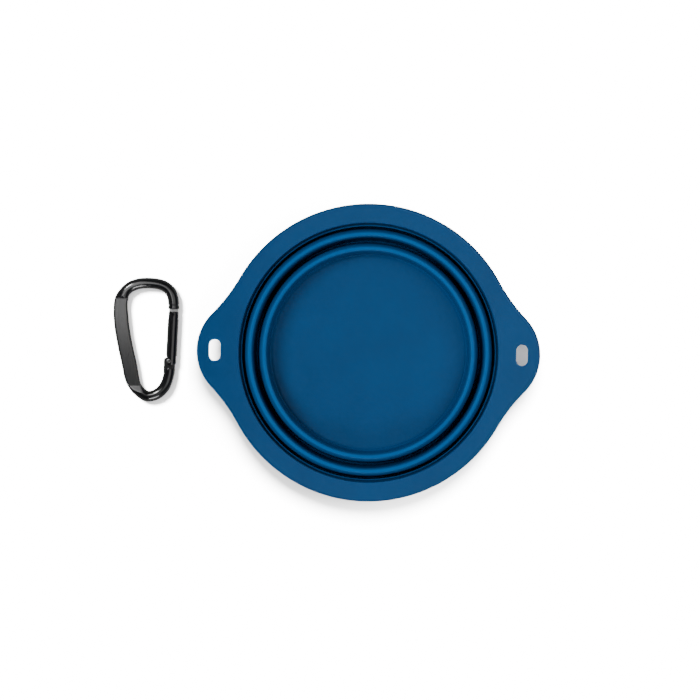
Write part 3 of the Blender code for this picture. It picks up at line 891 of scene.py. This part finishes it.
def rod(name, profile, sides, finish=None, axis="Y"):
    """Round rod about the local Y or Z axis from (radius, distance along) points."""
    rings = []
    for radius, along in profile:
        ring = []
        for index in range(sides):
            angle = 2.0 * math.pi * (index + 0.5) / sides
            across = radius * math.cos(angle)
            other = radius * math.sin(angle)
            ring.append((across, along, other) if axis == "Y" else (across, other, along))
        rings.append(ring)
    return add_piece(name, *skin(rings, caps=True), finish)


def hole_tool(name, radius, reach, sides):
    """Round cutter along Z that reaches equally far both ways."""
    return rod(name, [(radius, -reach), (radius, reach)], sides, axis="Z")


def shifted(piece, x=0.0, y=0.0):
    """Move a piece's mesh, in millimetres."""
    piece.data.transform(Matrix.Translation(Vector((x, y, 0.0)) * MM))
    return piece


def block(name, low, high, edge=0.0):
    """Box between two corners."""
    outline = [(low[0], low[1]), (high[0], low[1]), (high[0], high[1]), (low[0], high[1])]
    return prism(name, outline, low[2], high[2], edge)


def gate_space(rivet):
    """Matrix from the gate's own space, with the rivet at its origin, to the frame's, in metres."""
    return Matrix.Translation(rivet * MM) @ Matrix.Rotation(-math.radians(GATE_LEAN), 4, "Z")


def tang_outline():
    """Head about the rivet, with a shoulder on its inner side, on a stem down into the frame's arm."""
    outline = arc(0.0, 0.0, TANG_RADIUS, 60.0, 110.0)
    outline += rounded([
        (*outline[-1], 0.0),
        (TANG_INNER_X, 1.1, 0.9),
        (TANG_STEM_X, TANG_STEM_LOW, 0.0),
        (TANG_OUTER_X, TANG_STEM_LOW, 0.0),
        (TANG_OUTER_X, -1.2, 0.6),
        (2.0, 0.6, 0.5),
        (*outline[0], 0.0),
    ], closed=False)[1:-1]
    return outline


def make_wire_frame(rivet, finish, bare):
    """Bent and pressed wire, its latch tongue with a notch, and its hinge tang."""
    middle = rivet - RIVET_FROM_MIDDLE
    path = wire_path()
    length = path[-1][2]
    rings = [wire_ring(point, heading, run, length) for point, heading, run in path]
    body = add_piece("carabiner_body", *skin(rings, caps=True), finish, pressed_lift)
    body.data.transform(Matrix.Translation(middle * MM))
    to_gate = gate_space(rivet)
    half_tongue = TONGUE_THICKNESS / 2.0
    tongue = block(
        "tongue",
        (GATE_OFFSET - TONGUE_HALF_WIDTH, GATE_TIP - TONGUE_LENGTH, -half_tongue),
        (GATE_OFFSET + TONGUE_HALF_WIDTH, GATE_TIP + NOSE_GAP + TONGUE_ROOT, half_tongue),
        TONGUE_EDGE,
    )
    notch = block(
        "notch",
        (-NOTCH_REACH, LATCH_Y - NOTCH_HALF_WIDTH, -NOTCH_REACH),
        (GATE_OFFSET + NOTCH_HALF_WIDTH, LATCH_Y + NOTCH_HALF_WIDTH, NOTCH_REACH),
    )
    combine(tongue, notch, "DIFFERENCE")
    tongue.data.materials.append(bare)
    tang = prism("tang", tang_outline(), -TANG_THICKNESS / 2.0, TANG_THICKNESS / 2.0, TANG_EDGE)
    combine(tang, hole_tool("tang_hole", TANG_HOLE_RADIUS, TANG_HOLE_REACH, PIN_SIDES), "DIFFERENCE")
    for guide in (tongue, tang):
        guide.data.transform(to_gate)
        combine(body, guide, "UNION")
    even_shading(body, CARABINER_SHARP_ANGLE)
    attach(body, "carabiner")
    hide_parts("carabiner_frame")


def make_gate(rivet, finish):
    """Round gate: forked foot with a rounded end, slotted tip, blind bore and pin holes."""
    foot = arc(GATE_RADIUS - FORK_END_ROUND, FORK_END_ROUND - FORK_END, FORK_END_ROUND, -90.0, 0.0)
    tip_centre = GATE_TIP - GATE_TIP_ROUND
    tip = arc(GATE_RADIUS - GATE_TIP_ROUND, tip_centre, GATE_TIP_ROUND, 0.0, 90.0)
    gate = shifted(rod("gate_body", foot + tip, GATE_SIDES, finish), x=GATE_OFFSET)
    half_fork = FORK_SLOT / 2.0
    half_tip = TIP_SLOT / 2.0
    bore = [(BORE_RADIUS, FORK_SLOT_TOP - CUT_REACH), (BORE_RADIUS, BORE_TOP)]
    latch_hole = hole_tool("latch_hole", LATCH_HOLE_RADIUS, GATE_HOLE_REACH, SMALL_SIDES)
    cutters = [
        block("fork", (-SLOT_REACH, -SLOT_REACH, -half_fork), (SLOT_REACH, FORK_SLOT_TOP, half_fork)),
        block("slot", (-SLOT_REACH, TIP_SLOT_LOW, -half_tip), (SLOT_REACH, GATE_TIP + CUT_REACH, half_tip)),
        shifted(rod("bore", bore, SMALL_SIDES), x=GATE_OFFSET),
        hole_tool("rivet_hole", GATE_HOLE_RADIUS, GATE_HOLE_REACH, PIN_SIDES),
        shifted(latch_hole, x=GATE_OFFSET, y=LATCH_Y),
    ]
    for cutter in cutters:
        combine(gate, cutter, "DIFFERENCE")
    even_shading(gate, CARABINER_SHARP_ANGLE)
    place_in_gate(gate, rivet, "gate")


def place_in_gate(piece, rivet, node, body="carabiner_gate"):
    """Move a piece from the gate's own space to its place, and make it stand for its CAD node."""
    piece.data.transform(gate_space(rivet))
    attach(piece, body)
    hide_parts(node)


def mirrored(end):
    """Profile of a pin with the same end at both sides."""
    return end + [(radius, -along) for radius, along in reversed(end)]


def make_pins(rivet, worn, black):
    """Hinge pin with rolled, hollow heads, and the plain latch pin in the gate's tip."""
    hinge = rod("hinge_pin", mirrored(RIVET_HEAD), RIVET_SIDES, worn, axis="Z")
    place_in_gate(hinge, rivet, "hinge_rivet")
    latch = rod("latch_cross_pin", mirrored(LATCH_END), PIN_SIDES, black, axis="Z")
    shifted(latch, x=GATE_OFFSET, y=LATCH_Y)
    place_in_gate(latch, rivet, "latch_pin")


def make_spring(rivet, finish):
    """Compression spring with closed end coils, hidden in the gate's bore."""
    rings = []
    length = SPRING_HIGH - SPRING_LOW
    rise = length / (2.0 * math.pi * SPRING_TURNS)
    steps = int(SPRING_TURNS * SPRING_STEPS_PER_TURN)
    for step in range(steps + 1):
        share = step / steps
        turn = 2.0 * math.pi * SPRING_TURNS * share
        eased = share + SPRING_END_COILS * math.sin(4.0 * math.pi * share) / (2.0 * math.pi)
        outward = Vector((math.cos(turn), 0.0, math.sin(turn)))
        tangent = Vector((-SPRING_RADIUS * outward.z, rise, SPRING_RADIUS * outward.x)).normalized()
        across = tangent.cross(outward)
        centre = outward * SPRING_RADIUS + Vector((0.0, SPRING_LOW + length * eased, 0.0))
        ring = []
        for side in range(SPRING_SIDES):
            angle = 2.0 * math.pi * side / SPRING_SIDES
            ring.append(centre + (outward * math.cos(angle) + across * math.sin(angle)) * SPRING_WIRE)
        rings.append(ring)
    spring = shifted(add_piece("spring_coil", *skin(rings, caps=True), finish), x=GATE_OFFSET)
    place_in_gate(spring, rivet, "gate_spring")


def make_plunger(rivet, finish):
    """Headed pusher with a domed nose and a peg inside the coil."""
    pusher = shifted(rod("plunger_pin", PLUNGER_HEAD + PLUNGER_PEG, PIN_SIDES, finish), x=GATE_OFFSET)
    place_in_gate(pusher, rivet, "spring_plunger", "plunger")


def make_carabiner():
    """All pieces of the carabiner, placed from the CAD's hinge rivet."""
    low, high = sized("hinge_rivet")
    rivet = (low + high) / 2.0
    black = black_metal("black_anodised_wire", (0.005, 0.005, 0.006), 0.13, 0.3)
    gate_black = black_metal("black_anodised_gate", (0.005, 0.005, 0.006), 0.15)
    steel = bright_steel("drawn_steel", (0.56, 0.56, 0.57), 0.24, (1.0, 1.0, 0.1))
    spring_steel = bright_steel("spring_wire_steel", (0.46, 0.46, 0.48), 0.3, (1.0, 1.0, 1.0))
    bare = bright_steel("worn_tongue_metal", (0.34, 0.34, 0.34), 0.45, (1.0, 1.0, 1.0))
    worn = bright_steel("worn_rivet_metal", (0.16, 0.16, 0.16), 0.3, (1.0, 1.0, 1.0))
    make_wire_frame(rivet, black, bare)
    make_gate(rivet, gate_black)
    make_pins(rivet, worn, gate_black)
    make_spring(rivet, spring_steel)
    make_plunger(rivet, steel)


# ---------------------------------------------------------------- stage

VIEW_CENTRE = Vector((-8.06, 1.0, 0.0))
CAMERA_HEIGHT = 3000.0
CAMERA_ROLL = 1.0
CAMERA_LENS = 352.3
CAMERA_SENSOR = 36.0
TABLE_LEVEL = -0.02
TABLE_REACH = 6000.0
TABLE_SEAM = -79.0
PATCH_LEVEL = TABLE_LEVEL / 2.0
PATCH_MARGIN = 0.3
HAZE_TARGET = Vector((35.0, 8.0, 13.5))
SPINE_TARGET = Vector((-13.0, 24.0, 0.0))
# Greys of the room, each with its height from 0, straight down, to 1, straight up
ROOM_LOW = (0.45, 0.70)
ROOM_HORIZON = (0.52, 0.28)
ROOM_HIGH = (0.8, 0.06)
PAST_TABLE_STRENGTH = 16.5


def table_piece(name, low_x, high_x, reach_y, level, finish):
    """Level rectangle that the camera sees, and that throws no light back on the object."""
    corners = [(low_x, -reach_y), (high_x, -reach_y), (high_x, reach_y), (low_x, reach_y)]
    table = add_piece(name, [(x, y, level) for x, y in corners], [(0, 1, 2, 3)], finish)
    table.visible_diffuse = False
    table.visible_glossy = False
    table.visible_transmission = False
    return table


def make_table():
    """Plain white table top: a half under the carabiner, one under the bowl, a patch under each ear.

    They are separate so that each can have its own lights. The patches lie a hair above the rest.
    """
    made, nodes, links, shader = new_material("white_table")
    patchy = spread(nodes, links, noise(nodes, links, 9.0, 2.0), 0.0, 1.0)
    white = mixed(nodes, links, patchy, (0.89, 0.89, 0.89), (0.91, 0.91, 0.91))
    links.new(white, shader.inputs["Base Color"])
    shader.inputs["Roughness"].default_value = 0.9
    shader.inputs["Specular IOR Level"].default_value = 0.1
    tables = [
        table_piece("table_left", -TABLE_REACH, TABLE_SEAM, TABLE_REACH, TABLE_LEVEL, made),
        table_piece("table_right", TABLE_SEAM, TABLE_REACH, TABLE_REACH, TABLE_LEVEL, made),
    ]
    reach_x = SLOT_WIDTH / 2.0 + PATCH_MARGIN
    reach_y = SLOT_LENGTH / 2.0 + PATCH_MARGIN
    for name, x in (("table_under_left_ear", -SLOT_OFFSET), ("table_under_right_ear", SLOT_OFFSET)):
        tables.append(table_piece(name, x - reach_x, x + reach_x, reach_y, PATCH_LEVEL, made))
    return tables


def only(name, items, state):
    """Collection that links a light to the given objects, or to everything but them."""
    group = bpy.data.collections.new(name)
    for item in items:
        group.objects.link(item)
    for entry in group.collection_objects:
        entry.light_linking.link_state = state
    return group


def make_light(name, kind, azimuth, elevation, receivers):
    """Light that shines from a direction. Azimuth runs from +X towards +Y."""
    item = bpy.data.objects.new(name, bpy.data.lights.new(name, kind))
    bpy.context.scene.collection.objects.link(item)
    flat = math.cos(math.radians(elevation))
    toward = Vector((
        flat * math.cos(math.radians(azimuth)),
        flat * math.sin(math.radians(azimuth)),
        math.sin(math.radians(elevation)),
    ))
    item.rotation_euler = toward.to_track_quat("Z", "Y").to_euler()
    item.light_linking.receiver_collection = receivers
    item.visible_camera = False
    return item, toward


def make_sun(name, azimuth, elevation, spread_angle, strength, receivers):
    """Parallel light whose angle, in degrees, sets how soft its shadows are."""
    item, _ = make_light(name, "SUN", azimuth, elevation, receivers)
    item.data.angle = math.radians(spread_angle)
    item.data.energy = strength


def make_softbox(name, azimuth, elevation, distance, size, power, receivers):
    """Large soft light that gives the body colour only, without its mirror image."""
    item, toward = make_light(name, "AREA", azimuth, elevation, receivers)
    item.location = VIEW_CENTRE * MM + toward * distance
    item.data.size = size
    item.data.energy = power
    item.visible_glossy = False


def make_sheen(name, target, azimuth, elevation, distance, width, height, radiance, receivers):
    """Panel over a target place, in millimetres, that only shows as a reflection."""
    item, toward = make_light(name, "AREA", azimuth, elevation, receivers)
    item.location = (target + toward * distance) * MM
    item.data.shape = "RECTANGLE"
    item.data.size = width * MM
    item.data.size_y = height * MM
    item.data.energy = radiance * math.pi * width * height * MM * MM
    item.visible_diffuse = False


def make_lights(tables):
    """The table and the object have separate lights, so that the table stays white beside the dark blue."""
    pieces = {item.name: item for item in bpy.context.scene.objects if item.type == "MESH"}
    left_table = only("left_table", tables[:1], "INCLUDE")
    right_table = only("right_table", tables[1:2], "INCLUDE")
    under_ears = only("under_ears", tables[2:], "INCLUDE")
    all_but_table = only("object_lights", tables, "EXCLUDE")
    smooth_skin = only("smooth_skin", [pieces["rim"], pieces["bowl_floor"]], "INCLUDE")
    metal = only("metal", [pieces["carabiner_body"], pieces["gate_body"], pieces["hinge_pin"]], "INCLUDE")
    pressed_metal = only("pressed_metal", [pieces["carabiner_body"]], "INCLUDE")
    # Suns for the table: azimuth, elevation, angle, strength
    make_sun("left_key", 140.0, 47.0, 18.0, 73.0, left_table)
    make_sun("left_fill", 140.0, 85.0, 120.0, 6.5, left_table)
    make_sun("right_key", 82.0, 60.0, 28.0, 51.5, right_table)
    make_sun("right_side", 10.0, 45.0, 30.0, 8.5, right_table)
    make_sun("right_fill", 90.0, 88.0, 120.0, 9.0, right_table)
    make_sun("ear_key", 180.0, 57.0, 20.0, 34.0, under_ears)
    make_sun("ear_fill", 90.0, 88.0, 60.0, 7.0, under_ears)
    make_sun("ear_back", 90.0, 50.0, 4.0, 31.0, under_ears)
    # Softboxes for the object: azimuth, elevation, distance and size in metres, power
    make_softbox("key", 168.0, 50.0, 1.1, 0.5, 7.3, all_but_table)
    make_softbox("fill", -90.0, 36.0, 1.1, 0.4, 3.2, all_but_table)
    make_softbox("side", 20.0, 45.0, 0.4, 0.2, 0.38, all_but_table)
    # Reflections: target, azimuth, elevation, distance, width, height, radiance
    carabiner = sum(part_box("carabiner_frame"), Vector()) / (2.0 * MM)
    spine = carabiner + SPINE_TARGET
    make_sheen("haze", HAZE_TARGET, 0.0, 90.0, 90.0, 190.0, 250.0, 0.86, smooth_skin)
    make_sheen("spine_glow", spine, 0.0, 90.0, 90.0, 34.0, 44.0, 3.6, pressed_metal)
    make_sheen("upper_glow", carabiner, 118.0, 60.0, 400.0, 150.0, 150.0, 3.6, metal)
    make_sheen("side_glow", carabiner, 0.0, 68.0, 400.0, 260.0, 300.0, 1.3, metal)
    make_sheen("lower_glow", carabiner, -75.0, 36.0, 400.0, 160.0, 60.0, 28.0, metal)
    make_sheen("spark", carabiner, 125.0, 52.0, 400.0, 60.0, 60.0, 110.0, metal)


def set_tone(element, tone):
    """Set a ramp's stop to a (position, grey) pair."""
    position, grey = tone
    element.position = position
    element.color = (grey, grey, grey, 1.0)


def make_world():
    """Soft dim room for the light, plain white where the camera sees past the table."""
    world = bpy.data.worlds.new("studio")
    bpy.context.scene.world = world
    world.use_nodes = True
    nodes = world.node_tree.nodes
    links = world.node_tree.links
    room = nodes["Background"]
    place = nodes.new("ShaderNodeTexCoord")
    parts = nodes.new("ShaderNodeSeparateXYZ")
    tones = nodes.new("ShaderNodeValToRGB")
    set_tone(tones.color_ramp.elements[0], ROOM_LOW)
    set_tone(tones.color_ramp.elements[1], ROOM_HIGH)
    set_tone(tones.color_ramp.elements.new(ROOM_HORIZON[0]), ROOM_HORIZON)
    centred = nodes.new("ShaderNodeMapRange")
    centred.inputs["From Min"].default_value = -1.0
    links.new(place.outputs["Generated"], parts.inputs["Vector"])
    links.new(parts.outputs["Z"], centred.inputs["Value"])
    links.new(centred.outputs["Result"], tones.inputs["Fac"])
    links.new(tones.outputs["Color"], room.inputs["Color"])
    white = nodes.new("ShaderNodeBackground")
    white.inputs["Color"].default_value = (1.0, 1.0, 1.0, 1.0)
    white.inputs["Strength"].default_value = PAST_TABLE_STRENGTH
    seen = nodes.new("ShaderNodeLightPath")
    pick = nodes.new("ShaderNodeMixShader")
    links.new(seen.outputs["Is Camera Ray"], pick.inputs["Fac"])
    links.new(room.outputs["Background"], pick.inputs[1])
    links.new(white.outputs["Background"], pick.inputs[2])
    links.new(pick.outputs["Shader"], nodes["World Output"].inputs["Surface"])


def make_camera():
    """Straight down from high above, a little rolled."""
    lens = bpy.data.cameras.new("camera")
    lens.sensor_width = CAMERA_SENSOR
    lens.lens = CAMERA_LENS
    camera = bpy.data.objects.new("camera", lens)
    bpy.context.scene.collection.objects.link(camera)
    camera.location = (VIEW_CENTRE + Vector((0.0, 0.0, CAMERA_HEIGHT))) * MM
    camera.rotation_euler = (0.0, 0.0, math.radians(CAMERA_ROLL))
    bpy.context.scene.camera = camera


make_camera()
make_bowl()
make_carabiner()
make_lights(make_table())
make_world()
